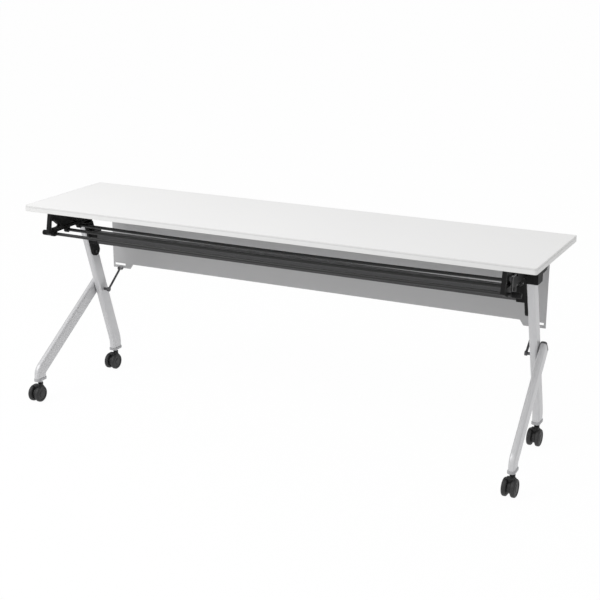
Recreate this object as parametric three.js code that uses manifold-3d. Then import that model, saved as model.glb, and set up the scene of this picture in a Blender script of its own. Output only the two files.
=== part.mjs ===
// Flip top training table on casters: a long narrow top that tips up about the heads of two
// crossed-tube legs, with a rod shelf below it and a modesty panel that folds with the top.
// Millimetres, +Z up. X runs along the table and Y from the user's edge to the back.

import * as THREE from 'three';
import { mergeVertices } from 'three/addons/utils/BufferGeometryUtils.js';
import Module from 'manifold-3d';

// Gaps between pieces
const SEAT_GAP = 0.3;
const RUN_GAP = 0.3;

// Table top
const TOP_LENGTH = 1800;
const TOP_DEPTH = 450;
const TOP_HEIGHT = 700;
const TOP_THICKNESS = 20;
const TOP_CORNER = 8;
const EDGE_BAND = 2;

// Leg tubes: the main tube leans back to the rear caster, the front tube leans to the front one
const MAIN_WIDTH = 25;
const FRONT_WIDTH = 21;
const TUBE_DEPTH = 48;
const TUBE_WALL = 1.6;
const TUBE_CORNER = 8;
const LEG_INSET = 77;
const MAIN_TOP_Y = 240;
const MAIN_TOP_DROP = 91;
const REAR_STEM_Y = 400;
const REAR_FOOT_RISE = 28;
const REAR_BEND_RADIUS = 120;
const FRONT_STEM_Y = -9;
const FRONT_SPREAD = 43;
const FRONT_FOOT_RISE = 23;
const FRONT_BEND_RADIUS = 30;
const FRONT_OVERSHOOT = 15;
const CROSSING_Z = 345;
const JOINT_GAP = 2;
const JOINT_RADIUS = 8;
const CAP_THICKNESS = 8;
const PLUG_LENGTH = 18;

// Casters with twin wheels under a hood, on a swivel stem in a collar at the tube's foot
const WHEEL_RADIUS = 29;
const WHEEL_WIDTH = 16;
const WHEEL_ROUND = 6;
const WHEEL_DISH = 2;
const WHEEL_GAP = 0.8;
const CASTER_TRAIL = 20;
const HOOD_WEB = 10;
const HOOD_DISC_RADIUS = 19;
const HOOD_SHELL = 3;
const HOOD_OVERHANG = 7;
const HOOD_FRONT_ANGLE = 112;
const HOOD_BACK_ANGLE = 22;
const HOOD_BOSS_RADIUS = 9;
const HOOD_BOSS_HEIGHT = 7;
const HOOD_FLOOR = 2;
const AXLE_RADIUS = 3;
const AXLE_SETBACK = 3;
const STEM_RADIUS = 5.5;
const STEM_NECK = 8;
const STEM_REACH = 16;
const COLLAR_HEIGHT = 10;
const COLLAR_RIM = 2;
const SOCKET_REACH = 13;
const SOCKET_WALL = 3;

// Hinge of the top: the pin sits in a black head on each main tube
const PIVOT_Y = 298;
const PIVOT_DROP = 44;
const PIVOT_RADIUS = 6;
const HEAD_WIDTH = 37;
const HUB_RADIUS = 22;
const HEAD_SHOULDER_RISE = 44;
const NOTCH_DEPTH = 6;

// Arms under the top, each with a window whose corners are set from its front edge and the bar
const ARM_THICKNESS = 13;
const ARM_FRONT_Y = 8;
const ARM_RAKE = 14;
const ARM_FOOT = 7.5;
const ARM_FOOT_LENGTH = 8;
const ARM_NOTCH = 6;
const ARM_BEAM_DEPTH = 68;
const ARM_BOSS_RADIUS = 20;
const ARM_STRUT = 14;
const WINDOW_CORNERS = [[1, 21], [5, 48], [20, 48], [50, 25], [42, 21]];
const POCKET_FIRST_Y = 72;
const POCKET_DEPTH = 4;
const POCKET_RIM = 9;

// Rods of the shelf and the release bar in front of them
const ROD_RADIUS = 5.5;
const ROD_SAG = 4.5;
const ROD_LOBE = 10;
const ROD_SOCKET = 8;
const BAR_Y = 33;
const BAR_DROP = 76;
const ROD_PITCH = 71.5;
const SHELF_RODS = ['middle', 'rear'];
const GRIP_RADIUS = 9;
const GRIP_LENGTH = 28;
const GRIP_BORE = 21;
const CRANK_THICKNESS = 3;
const CRANK_WIDTH = 9;
const CRANK_RISE = 49;
const CRANK_PIN_RADIUS = 2;

// Lock rods that run along the arms to the heads
const LOCK_RADIUS = 3;
const LOCK_STANDOFF = 6;
const LOCK_GAP = 2;
const LOCK_EYE_LENGTH = 16;
const LOCK_EYE_HEIGHT = 14;
const LOCK_SLOT = 5;
const GUIDE_LENGTH = 10;
const GUIDE_FIRST_Y = 90;
const GUIDE_LAST_Y = 200;

// Beam between the legs
const BEAM_DEPTH = 25;
const BEAM_HEIGHT = 44;
const BEAM_WALL = 1.6;
const BEAM_DROP = 134;
const BRACKET_THICKNESS = 9;
const BRACKET_WIDTH = 44;
const BRACKET_RISE = 14;
const BRACKET_HEIGHT = 132;
const SPIGOT_LENGTH = 20;
const SLEEVE_LENGTH = 26;
const SLEEVE_WALL = 3;

// Modesty panel and its stays
const PANEL_END_INSET = 8;
const PANEL_SHEET = 2;
const PANEL_Y = 415;
const PANEL_DROP = 25;
const PANEL_HEIGHT = 246;
const TAB_DROP = 18;
const TAB_LENGTH = 74;
const TAB_SLOPE = 12;
const SLOT_LENGTH = 46;
const SLOT_HEIGHT = 8;
const SLOT_EDGE = 7;
const HINGE_Y = 418;
const HINGE_DROP = 16;
const HINGE_INSET = 227.5;
const HINGE_PIN_RADIUS = 3;
const KNUCKLE_RADIUS = 6;
const KNUCKLE_LENGTH = 36;
const LEAF_EAR = 8;
const LEAF_DEPTH = 36;
const LEAF_THICKNESS = 3;
const STAY_RADIUS = 4;
const STAY_TOP_STANDOFF = 14;
const STAY_PEG_LENGTH = 13.5;
const STAY_PEG_DROP = 62;
const STAY_PEG_RADIUS = 5;
const STAY_EYE_RADIUS = 8;
const STAY_PIN_LENGTH = 20;
const STAY_LUG_Y = 405;
const STAY_LUG_DROP = 17;
const LUG_THICKNESS = 2;
const LUG_RADIUS = 7;
const LUG_GAP = 2;

// Smoothness of round shapes
const ROUND_SIDES = 12;
const WHEEL_SIDES = 20;
const WHEEL_ROUND_STEPS = 3;
const CORNER_STEPS = 2;
const BEND_STEPS = 7;
const ROD_STEPS = 20;

// Places worked out from the sizes above
const TOP_UNDER = TOP_HEIGHT - TOP_THICKNESS;
const MAIN_X = TOP_LENGTH / 2 - LEG_INSET;
const FRONT_X = MAIN_X + FRONT_SPREAD;
const MAIN_INNER_X = MAIN_X - MAIN_WIDTH / 2;
const MAIN_OUTER_X = MAIN_X + MAIN_WIDTH / 2;
const MAIN_TOP_Z = TOP_UNDER - MAIN_TOP_DROP;
const ARM_OUTER_X = MAIN_INNER_X - 2 * SEAT_GAP;
const ARM_INNER_X = ARM_OUTER_X - ARM_THICKNESS;
const PIVOT_Z = TOP_UNDER - PIVOT_DROP;
const BAR_Z = TOP_UNDER - BAR_DROP;
const LOCK_X = ARM_OUTER_X + LOCK_STANDOFF;
const LOCK_Z = BAR_Z + CRANK_RISE;
const BEAM_Z = TOP_UNDER - BEAM_DROP;
const BRACKET_OUTER_X = MAIN_INNER_X - SEAT_GAP;
const BRACKET_INNER_X = BRACKET_OUTER_X - BRACKET_THICKNESS;
const BRACKET_TOP_Z = MAIN_TOP_Z + BRACKET_RISE;
const BRACKET_BOTTOM_Z = BRACKET_TOP_Z - BRACKET_HEIGHT;
const PANEL_HALF = MAIN_OUTER_X - PANEL_END_INSET;
const PANEL_TOP_Z = TOP_UNDER - PANEL_DROP;
const PANEL_BOTTOM_Z = PANEL_TOP_Z - PANEL_HEIGHT;
const HINGE_X = PANEL_HALF - HINGE_INSET;
const HINGE_Z = TOP_UNDER - HINGE_DROP;
const STAY_TOP_X = MAIN_INNER_X - STAY_TOP_STANDOFF - STAY_RADIUS;
const STAY_EYE_X = MAIN_INNER_X - STAY_PEG_LENGTH - STAY_RADIUS;
const STAY_LUG_Z = PANEL_BOTTOM_Z - STAY_LUG_DROP;
const STAY_PEG_Z = STAY_LUG_Z - STAY_PEG_DROP;
const SIDES = [['left', -1], ['right', 1]];

// Heights of a caster: the boss clears the wheels, and the collar and the tube's foot follow from it
const WHEEL_SPACE = WHEEL_RADIUS + WHEEL_GAP;
const BOSS_REACH = Math.max(CASTER_TRAIL - HOOD_BOSS_RADIUS, 0);
const BOSS_BOTTOM_Z = WHEEL_RADIUS + Math.sqrt(WHEEL_SPACE ** 2 - Math.min(BOSS_REACH, WHEEL_SPACE) ** 2);
const HOOD_TOP_Z = BOSS_BOTTOM_Z + HOOD_BOSS_HEIGHT;
const COLLAR_BOTTOM_Z = HOOD_TOP_Z + STEM_NECK;
const TUBE_FOOT_Z = COLLAR_BOTTOM_Z + COLLAR_HEIGHT;

const COLOURS = {
  white_laminate: { color: 0xf0efef, roughness: 0.45, metalness: 0 },
  edge_plastic: { color: 0xdcdcd8, roughness: 0.5, metalness: 0 },
  silver_paint: { color: 0xbfc0c3, roughness: 0.4, metalness: 0.5 },
  black_plastic: { color: 0x141414, roughness: 0.55, metalness: 0 },
  black_paint: { color: 0x1b1b1c, roughness: 0.5, metalness: 0.2 },
  beam_paint: { color: 0x3a3a3b, roughness: 0.55, metalness: 0.2 },
  panel_paint: { color: 0x9a9a9b, roughness: 0.5, metalness: 0.2 },
  grey_plastic: { color: 0x9b9c9e, roughness: 0.6, metalness: 0 },
  steel: { color: 0x8d8f92, roughness: 0.35, metalness: 0.9 },
  wheel_plastic: { color: 0x262626, roughness: 0.6, metalness: 0 },
};

const wasm = await Module();
wasm.setup();

const table = new THREE.Group();

// Puts one finished piece into the table under its name
function add(name, colour, geometry) {
  const mesh = new THREE.Mesh(geometry, new THREE.MeshStandardMaterial(COLOURS[colour]));
  mesh.name = name;
  table.add(mesh);
}

function toSolid(geometry) {
  const bare = geometry.clone();
  bare.deleteAttribute('normal');
  bare.deleteAttribute('uv');
  const merged = mergeVertices(bare);
  const mesh = new wasm.Mesh({
    numProp: 3,
    vertProperties: new Float32Array(merged.attributes.position.array),
    triVerts: new Uint32Array(merged.index.array),
  });
  return new wasm.Manifold(mesh);
}

function toGeometry(solid) {
  const mesh = solid.getMesh();
  const geometry = new THREE.BufferGeometry();
  geometry.setAttribute('position', new THREE.BufferAttribute(mesh.vertProperties, 3));
  geometry.setIndex(new THREE.BufferAttribute(mesh.triVerts, 1));
  geometry.computeVertexNormals();
  return geometry;
}

function join(...geometries) {
  const solids = geometries.map(toSolid);
  return toGeometry(solids.reduce((sum, next) => sum.add(next)));
}

function cut(geometry, ...tools) {
  return toGeometry(tools.reduce((left, tool) => left.subtract(toSolid(tool)), toSolid(geometry)));
}

// A block given by its two limits on each axis
function block(x0, x1, y0, y1, z0, z1) {
  const box = new THREE.BoxGeometry(x1 - x0, y1 - y0, z1 - z0);
  return box.translate((x0 + x1) / 2, (y0 + y1) / 2, (z0 + z1) / 2);
}

// A round bar along X, and one along Z
function barX(radius, x0, x1, y, z, sides = ROUND_SIDES) {
  const bar = new THREE.CylinderGeometry(radius, radius, Math.abs(x1 - x0), sides);
  return bar.rotateZ(Math.PI / 2).translate((x0 + x1) / 2, y, z);
}

function barZ(radius, z0, z1, x, y) {
  const bar = new THREE.CylinderGeometry(radius, radius, z1 - z0, ROUND_SIDES);
  return bar.rotateX(Math.PI / 2).translate(x, y, (z0 + z1) / 2);
}

// The same range of X on the left or the right half of the table
function span(side, near, far) {
  return side > 0 ? [near, far] : [-far, -near];
}

// A flat piece whose outline is drawn in Y and Z, thick from x0 to x1
function plate(outline, [x0, x1]) {
  const flat = new THREE.ExtrudeGeometry(outline, {
    depth: x1 - x0, bevelEnabled: false, curveSegments: ROUND_SIDES / 2,
  });
  const turn = new THREE.Matrix4().makeBasis(
    new THREE.Vector3(0, 1, 0), new THREE.Vector3(0, 0, 1), new THREE.Vector3(1, 0, 0));
  return flat.applyMatrix4(turn).translate(x0, 0, 0);
}

function polygon(points) {
  return new THREE.Shape(points.map(([y, z]) => new THREE.Vector2(y, z)));
}

function disc(y, z, radius) {
  return new THREE.Shape().absarc(y, z, radius, 0, 2 * Math.PI);
}

function roundedRectangle(width, depth, radius) {
  const x = width / 2 - radius;
  const y = depth / 2 - radius;
  const shape = new THREE.Shape();
  shape.absarc(x, y, radius, 0, Math.PI / 2);
  shape.absarc(-x, y, radius, Math.PI / 2, Math.PI);
  shape.absarc(-x, -y, radius, Math.PI, 1.5 * Math.PI);
  shape.absarc(x, -y, radius, 1.5 * Math.PI, 2 * Math.PI);
  shape.closePath();
  return shape;
}

function tubeSection(width, inset) {
  return roundedRectangle(width - 2 * inset, TUBE_DEPTH - 2 * inset, TUBE_CORNER - inset);
}

// A tube's centre line given by points and directions, with one step of the tube at each point
class StationPath extends THREE.Curve {
  constructor(points, directions) {
    super();
    this.points = points;
    this.directions = directions;
  }

  station(t) {
    return Math.round(t * (this.points.length - 1));
  }

  getUtoTmapping(u) {
    return u;
  }

  getPoint(t) {
    return this.points[this.station(t)].clone();
  }

  getTangent(t) {
    return this.directions[this.station(t)].clone();
  }
}

// A straight run, a round bend and a vertical foot below the corner, as one path
function bentPath(from, bend, footZ, radius) {
  const down = new THREE.Vector3(0, 0, -1);
  const along = bend.clone().sub(from).normalize();
  const turn = along.angleTo(down);
  const reach = radius * Math.tan(turn / 2);
  const bendStart = bend.clone().addScaledVector(along, -reach);
  const axis = along.clone().cross(down).normalize();
  const toCentre = axis.clone().cross(along).multiplyScalar(radius);
  const centre = bendStart.clone().add(toCentre);
  const points = [from];
  const directions = [along];
  for (let step = 0; step <= BEND_STEPS; step += 1) {
    const angle = (turn * step) / BEND_STEPS;
    points.push(toCentre.clone().negate().applyAxisAngle(axis, angle).add(centre));
    directions.push(along.clone().applyAxisAngle(axis, angle));
  }
  points.push(new THREE.Vector3(bend.x, bend.y, footZ));
  directions.push(down);
  return new StationPath(points, directions);
}

function hollowTube(path, width) {
  const section = tubeSection(width, 0);
  section.holes.push(tubeSection(width, TUBE_WALL));
  const steps = path.points.length - 1;
  return new THREE.ExtrudeGeometry(section, { steps, extrudePath: path, curveSegments: CORNER_STEPS });
}

// Corners of the bends, the main tube's centre line as Y at a height, and where the front tube crosses it
const REAR_BEND_Z = TUBE_FOOT_Z + REAR_FOOT_RISE;
const FRONT_BEND_Z = TUBE_FOOT_Z + FRONT_FOOT_RISE;
const MAIN_LEAN = (REAR_STEM_Y - MAIN_TOP_Y) / (MAIN_TOP_Z - REAR_BEND_Z);
const mainY = (z) => MAIN_TOP_Y + (MAIN_TOP_Z - z) * MAIN_LEAN;
const frontCorner = (side) => new THREE.Vector3(side * FRONT_X, FRONT_STEM_Y, FRONT_BEND_Z);
const crossing = (side) => new THREE.Vector3(
  side * (MAIN_OUTER_X + JOINT_GAP + FRONT_WIDTH / 2), mainY(CROSSING_Z), CROSSING_Z);
const frontRun = (side) => crossing(side).sub(frontCorner(side)).normalize();
const frontEnd = (side) => crossing(side).addScaledVector(frontRun(side), FRONT_OVERSHOOT);

function makeTop() {
  const length = TOP_LENGTH - 2 * EDGE_BAND;
  const depth = TOP_DEPTH - 2 * EDGE_BAND;
  const options = { depth: TOP_THICKNESS, bevelEnabled: false, curveSegments: 4 };
  const inner = roundedRectangle(length, depth, TOP_CORNER - EDGE_BAND);
  const board = roundedRectangle(length - 2 * SEAT_GAP, depth - 2 * SEAT_GAP, TOP_CORNER - EDGE_BAND);
  const rim = roundedRectangle(TOP_LENGTH, TOP_DEPTH, TOP_CORNER);
  rim.holes.push(inner);
  const place = (shape) => new THREE.ExtrudeGeometry(shape, options).translate(0, TOP_DEPTH / 2, TOP_UNDER);
  add('table_top', 'white_laminate', place(board));
  add('edge_band', 'edge_plastic', place(rim));
}

// Main tube, front tube and the pad that joins them where they cross
function makeLeg(name, side) {
  const headroom = TUBE_DEPTH;
  const main = bentPath(
    new THREE.Vector3(side * MAIN_X, mainY(MAIN_TOP_Z + headroom), MAIN_TOP_Z + headroom),
    new THREE.Vector3(side * MAIN_X, REAR_STEM_Y, REAR_BEND_Z), TUBE_FOOT_Z, REAR_BEND_RADIUS);
  const above = block(...span(side, MAIN_INNER_X - MAIN_WIDTH, MAIN_OUTER_X + MAIN_WIDTH),
    MAIN_TOP_Y - 3 * TUBE_DEPTH, MAIN_TOP_Y + 3 * TUBE_DEPTH, MAIN_TOP_Z, MAIN_TOP_Z + 3 * headroom);
  add(`main_tube_${name}`, 'silver_paint', cut(hollowTube(main, MAIN_WIDTH), above));
  const front = bentPath(frontEnd(side), frontCorner(side), TUBE_FOOT_Z, FRONT_BEND_RADIUS);
  add(`front_tube_${name}`, 'silver_paint', hollowTube(front, FRONT_WIDTH));
  const gap = span(side, MAIN_OUTER_X + SEAT_GAP, MAIN_OUTER_X + JOINT_GAP - 2 * SEAT_GAP);
  add(`leg_joint_${name}`, 'silver_paint', barX(JOINT_RADIUS, ...gap, mainY(CROSSING_Z), CROSSING_Z));
}

// Cap in the open upper end of the front tube: a flat lid and a plug, set along the tube
function makeFrontCap(name, side) {
  const along = frontRun(side);
  const end = frontEnd(side);
  const run = (section, from, to) => {
    const line = new THREE.LineCurve3(
      end.clone().addScaledVector(along, from), end.clone().addScaledVector(along, to));
    return new THREE.ExtrudeGeometry(section, { steps: 1, extrudePath: line, curveSegments: CORNER_STEPS });
  };
  const lid = run(tubeSection(FRONT_WIDTH, 0), SEAT_GAP, SEAT_GAP + CAP_THICKNESS);
  const plug = run(tubeSection(FRONT_WIDTH, TUBE_WALL + SEAT_GAP),
    -PLUG_LENGTH, SEAT_GAP + CAP_THICKNESS / 2);
  add(`front_tube_cap_${name}`, 'grey_plastic', join(lid, plug));
}

// Collar under a tube's foot, with a plug in the tube and a bore for the caster's stem
function makeSocket(name, x, y, width) {
  const upright = (section, z0, z1) => new THREE.ExtrudeGeometry(section, {
    depth: z1 - z0, bevelEnabled: false, curveSegments: CORNER_STEPS,
  }).translate(x, y, z0);
  const collar = upright(tubeSection(width, -COLLAR_RIM), COLLAR_BOTTOM_Z, TUBE_FOOT_Z - SEAT_GAP);
  const plugTop = TUBE_FOOT_Z + SOCKET_REACH;
  const plug = barZ(STEM_RADIUS + SOCKET_WALL, COLLAR_BOTTOM_Z + COLLAR_RIM, plugTop, x, y);
  const bore = barZ(STEM_RADIUS + RUN_GAP, COLLAR_BOTTOM_Z - STEM_RADIUS, plugTop + STEM_RADIUS, x, y);
  add(`caster_socket_${name}`, 'grey_plastic', cut(join(collar, plug), bore));
}

// One wheel: a rounded tread, a dished outer face and a blind bore from the inner face
function wheelShape(boreDepth) {
  const bore = AXLE_RADIUS + RUN_GAP;
  const rim = WHEEL_RADIUS - WHEEL_ROUND;
  const points = [[0, boreDepth], [bore, boreDepth], [bore, 0], [rim, 0]];
  for (let step = 1; step <= WHEEL_ROUND_STEPS; step += 1) {
    const angle = (step / WHEEL_ROUND_STEPS) * Math.PI / 2;
    points.push([rim + WHEEL_ROUND * Math.sin(angle), WHEEL_ROUND * (1 - Math.cos(angle))]);
  }
  for (let step = 0; step <= WHEEL_ROUND_STEPS; step += 1) {
    const angle = (step / WHEEL_ROUND_STEPS) * Math.PI / 2;
    points.push([rim + WHEEL_ROUND * Math.cos(angle), WHEEL_WIDTH - WHEEL_ROUND * (1 - Math.sin(angle))]);
  }
  points.push([rim - WHEEL_DISH, WHEEL_WIDTH - WHEEL_DISH], [0, WHEEL_WIDTH - WHEEL_DISH]);
  return new THREE.LatheGeometry(points.map(([r, y]) => new THREE.Vector2(r, y)), WHEEL_SIDES);
}

// The hood's side view: a band over the wheels, or the whole slice from the axle out to that band
function hoodSlice(axleY, inner) {
  const [back, front] = [HOOD_BACK_ANGLE, HOOD_FRONT_ANGLE].map(THREE.MathUtils.degToRad);
  const slice = new THREE.Shape();
  slice.absarc(axleY, WHEEL_RADIUS, WHEEL_SPACE + HOOD_SHELL, back, front);
  slice.absarc(axleY, WHEEL_RADIUS, inner, front, back, true);
  slice.closePath();
  return slice;
}

function makeCaster(name, x, y) {
  const axleY = y - CASTER_TRAIL;
  const half = HOOD_WEB / 2;
  const wheelInner = half + WHEEL_GAP;
  const reach = wheelInner + HOOD_OVERHANG;
  const body = join(
    barX(HOOD_DISC_RADIUS, x - half, x + half, axleY, WHEEL_RADIUS, WHEEL_SIDES),
    plate(hoodSlice(axleY, HOOD_DISC_RADIUS / 2), [x - half, x + half]),
    plate(hoodSlice(axleY, WHEEL_SPACE), [x - reach, x + reach]),
    barZ(HOOD_BOSS_RADIUS, WHEEL_RADIUS + HOOD_DISC_RADIUS, HOOD_TOP_Z, x, y));
  const wheelRoom = SIDES.map(([, side]) => barX(
    WHEEL_SPACE, x + side * half, x + side * (reach + half), axleY, WHEEL_RADIUS, 2 * WHEEL_SIDES));
  const stemBottom = BOSS_BOTTOM_Z + HOOD_FLOOR;
  const stemHole = barZ(STEM_RADIUS + SEAT_GAP, stemBottom, HOOD_TOP_Z + HOOD_BOSS_HEIGHT, x, y);
  const axleHole = barX(AXLE_RADIUS + SEAT_GAP, x - HOOD_WEB, x + HOOD_WEB, axleY, WHEEL_RADIUS);
  add(`caster_hood_${name}`, 'wheel_plastic', cut(body, ...wheelRoom, stemHole, axleHole));
  add(`caster_stem_${name}`, 'steel',
    barZ(STEM_RADIUS, stemBottom + SEAT_GAP, TUBE_FOOT_Z + STEM_REACH, x, y));
  const axleHalf = wheelInner + WHEEL_WIDTH - WHEEL_DISH - AXLE_SETBACK;
  add(`caster_axle_${name}`, 'steel', barX(AXLE_RADIUS, x - axleHalf, x + axleHalf, axleY, WHEEL_RADIUS));
  for (const [end, side] of SIDES) {
    const wheel = wheelShape(axleHalf - wheelInner + SEAT_GAP).rotateZ(-side * Math.PI / 2);
    add(`wheel_${name}_${end}`, 'wheel_plastic', wheel.translate(x + side * wheelInner, axleY, WHEEL_RADIUS));
  }
}

// Black head on the main tube: a plug in the tube, a block above it and the hub round the pin
function makeHead(name, side) {
  const seat = MAIN_TOP_Z + SEAT_GAP;
  const reach = TUBE_DEPTH / 2 + COLLAR_RIM;
  const outline = polygon([
    [MAIN_TOP_Y - reach, seat], [MAIN_TOP_Y + reach, seat], [MAIN_TOP_Y + reach, PIVOT_Z - HUB_RADIUS],
    [PIVOT_Y, PIVOT_Z - HUB_RADIUS], [PIVOT_Y, PIVOT_Z],
    [PIVOT_Y - HUB_RADIUS * 0.9, PIVOT_Z + HUB_RADIUS / 3], [MAIN_TOP_Y - reach, seat + HEAD_SHOULDER_RISE],
  ]);
  const range = span(side, MAIN_INNER_X, MAIN_INNER_X + HEAD_WIDTH);
  const line = new THREE.LineCurve3(
    new THREE.Vector3(side * MAIN_X, mainY(seat + PLUG_LENGTH / 2), seat + PLUG_LENGTH / 2),
    new THREE.Vector3(side * MAIN_X, mainY(seat - PLUG_LENGTH), seat - PLUG_LENGTH));
  const plug = new THREE.ExtrudeGeometry(tubeSection(MAIN_WIDTH, TUBE_WALL + 2 * SEAT_GAP), {
    steps: 1, extrudePath: line, curveSegments: CORNER_STEPS,
  });
  const body = join(plate(outline, range), barX(HUB_RADIUS, ...range, PIVOT_Y, PIVOT_Z, WHEEL_SIDES), plug);
  const pinEnd = MAIN_INNER_X + HEAD_WIDTH - TUBE_WALL;
  const pinHole = barX(PIVOT_RADIUS + SEAT_GAP, ...span(side, ARM_INNER_X, pinEnd), PIVOT_Y, PIVOT_Z);
  const mouth = lockTipY() - LOCK_GAP;
  const notch = block(...span(side, LOCK_X - 2 * LOCK_RADIUS, LOCK_X + 2 * LOCK_RADIUS), mouth,
    mouth + LOCK_GAP + HUB_RADIUS / 2 + NOTCH_DEPTH,
    LOCK_Z - LOCK_RADIUS - SEAT_GAP, LOCK_Z + LOCK_RADIUS + SEAT_GAP);
  add(`leg_head_${name}`, 'black_plastic', cut(body, pinHole, notch));
  const pinRange = span(side, ARM_INNER_X + SEAT_GAP, pinEnd - SEAT_GAP);
  add(`pivot_pin_${name}`, 'steel', barX(PIVOT_RADIUS, ...pinRange, PIVOT_Y, PIVOT_Z));
}

// The lock rod stops this far from the front, just outside the circle that the hub turns in
function lockTipY() {
  const rise = LOCK_Z - LOCK_RADIUS - PIVOT_Z;
  return PIVOT_Y - Math.sqrt((HUB_RADIUS + LOCK_GAP) ** 2 - Math.min(rise, HUB_RADIUS) ** 2);
}

// Bracket on the inner face of the main tube, with a spigot that carries the beam
function makeBeamBracket(name, side) {
  const half = BRACKET_WIDTH / 2;
  const endZ = BRACKET_BOTTOM_Z + half;
  const outline = new THREE.Shape();
  outline.moveTo(mainY(BRACKET_TOP_Z) + half, BRACKET_TOP_Z);
  outline.lineTo(mainY(BRACKET_TOP_Z) - half, BRACKET_TOP_Z);
  outline.lineTo(mainY(endZ) - half, endZ);
  outline.absarc(mainY(endZ), endZ, half, Math.PI, 2 * Math.PI);
  outline.closePath();
  const flange = plate(outline, span(side, BRACKET_INNER_X, BRACKET_OUTER_X));
  const beamY = mainY(BEAM_Z);
  const around = (x0, x1, margin) => block(...span(side, x0, x1),
    beamY - BEAM_DEPTH / 2 - margin, beamY + BEAM_DEPTH / 2 + margin,
    BEAM_Z - BEAM_HEIGHT / 2 - margin, BEAM_Z + BEAM_HEIGHT / 2 + margin);
  const spigot = around(BRACKET_INNER_X - SPIGOT_LENGTH, BRACKET_INNER_X + BRACKET_THICKNESS / 2,
    -BEAM_WALL - SEAT_GAP);
  const sleeve = cut(
    around(BRACKET_INNER_X - SLEEVE_LENGTH, BRACKET_INNER_X + SLEEVE_WALL / 2, SLEEVE_WALL),
    around(BRACKET_INNER_X - 2 * SLEEVE_LENGTH, BRACKET_INNER_X, SEAT_GAP));
  add(`beam_bracket_${name}`, 'black_plastic', join(flange, spigot, sleeve));
}

function makeBeam() {
  const beamY = mainY(BEAM_Z);
  const section = (inset) => polygon([
    [beamY - BEAM_DEPTH / 2 + inset, BEAM_Z - BEAM_HEIGHT / 2 + inset],
    [beamY + BEAM_DEPTH / 2 - inset, BEAM_Z - BEAM_HEIGHT / 2 + inset],
    [beamY + BEAM_DEPTH / 2 - inset, BEAM_Z + BEAM_HEIGHT / 2 - inset],
    [beamY - BEAM_DEPTH / 2 + inset, BEAM_Z + BEAM_HEIGHT / 2 - inset],
  ]);
  const hollow = section(0);
  hollow.holes.push(section(BEAM_WALL));
  const reach = BRACKET_INNER_X - SEAT_GAP;
  add('crossbeam', 'beam_paint', plate(hollow, [-reach, reach]));
}

// Arm under the top: a deep beam, a raked front post with a foot, lobes for the rods and the hinge boss
function makeArm(name, side) {
  const top = TOP_UNDER - SEAT_GAP;
  const beamBottom = top - ARM_BEAM_DEPTH;
  const footBottom = BAR_Z - ARM_FOOT;
  const footEnd = BAR_Y + ARM_FOOT_LENGTH;
  const range = span(side, ARM_INNER_X, ARM_OUTER_X);
  const outline = polygon([
    [ARM_FRONT_Y, top], [ARM_FRONT_Y - ARM_RAKE, BAR_Z + ARM_FOOT], [BAR_Y - ROD_LOBE, footBottom],
    [footEnd, footBottom], [footEnd, BAR_Z + ARM_NOTCH], [rodY(0), beamBottom], [PIVOT_Y, beamBottom],
    [PIVOT_Y + ARM_BOSS_RADIUS, PIVOT_Z], [PIVOT_Y + ARM_BOSS_RADIUS, top],
  ]);
  outline.holes.push(polygon(WINDOW_CORNERS.map(([back, up]) => [ARM_FRONT_Y + back, BAR_Z + up])));
  const solids = [plate(outline, range), barX(ARM_BOSS_RADIUS, ...range, PIVOT_Y, PIVOT_Z, WHEEL_SIDES)];
  const through = span(side, ARM_INNER_X - ARM_THICKNESS, LOCK_X + LOCK_GAP);
  const holes = [
    barX(PIVOT_RADIUS + RUN_GAP, ...through, PIVOT_Y, PIVOT_Z),
    barX(ROD_RADIUS + RUN_GAP, ...through, BAR_Y, BAR_Z),
  ];
  SHELF_RODS.forEach((rod, index) => {
    const socket = span(side, ARM_INNER_X - ROD_SOCKET, ARM_INNER_X + ROD_SOCKET + SEAT_GAP);
    solids.push(barX(ROD_LOBE, ...range, rodY(index), BAR_Z));
    solids.push(block(...range, rodY(index) - ROD_LOBE, rodY(index) + ROD_LOBE,
      BAR_Z, beamBottom + ROD_LOBE));
    holes.push(barX(ROD_RADIUS + SEAT_GAP, ...socket, rodY(index), BAR_Z));
  });
  for (const y of [GUIDE_FIRST_Y, GUIDE_LAST_Y]) {
    const depth = span(side, ARM_OUTER_X - ARM_THICKNESS / 2, LOCK_X + LOCK_RADIUS + LOCK_GAP);
    solids.push(block(...depth, y - GUIDE_LENGTH / 2, y + GUIDE_LENGTH / 2,
      LOCK_Z - 2 * LOCK_RADIUS, LOCK_Z + 2 * LOCK_RADIUS));
    const bore = LOCK_RADIUS + RUN_GAP;
    const drill = new THREE.CylinderGeometry(bore, bore, 2 * GUIDE_LENGTH, ROUND_SIDES);
    holes.push(drill.translate(side * LOCK_X, y, LOCK_Z));
  }
  add(`arm_${name}`, 'black_plastic', cut(join(...solids), ...holes, ...armPockets(side, top, beamBottom)));
}

// Shallow triangular pockets in the inner face, which leave a rim and slanting ribs
function armPockets(side, top, beamBottom) {
  const high = top - POCKET_RIM;
  const low = beamBottom + POCKET_RIM;
  const first = POCKET_FIRST_Y;
  const last = PIVOT_Y - ARM_BOSS_RADIUS - POCKET_RIM;
  const middle = (first + last) / 2;
  const range = span(side, ARM_INNER_X - POCKET_DEPTH, ARM_INNER_X + POCKET_DEPTH);
  return [
    polygon([[first, low], [middle - ARM_STRUT, low], [first, high]]),
    polygon([[first + ARM_STRUT, high], [middle, low + POCKET_RIM / 2], [last - ARM_STRUT, high]]),
    polygon([[middle + ARM_STRUT, low], [last, low], [last, high]]),
  ].map((shape) => plate(shape, range));
}

// The shelf's rods lie behind the release bar at an even pitch
function rodY(index) {
  return BAR_Y + (index + 1) * ROD_PITCH;
}

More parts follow.
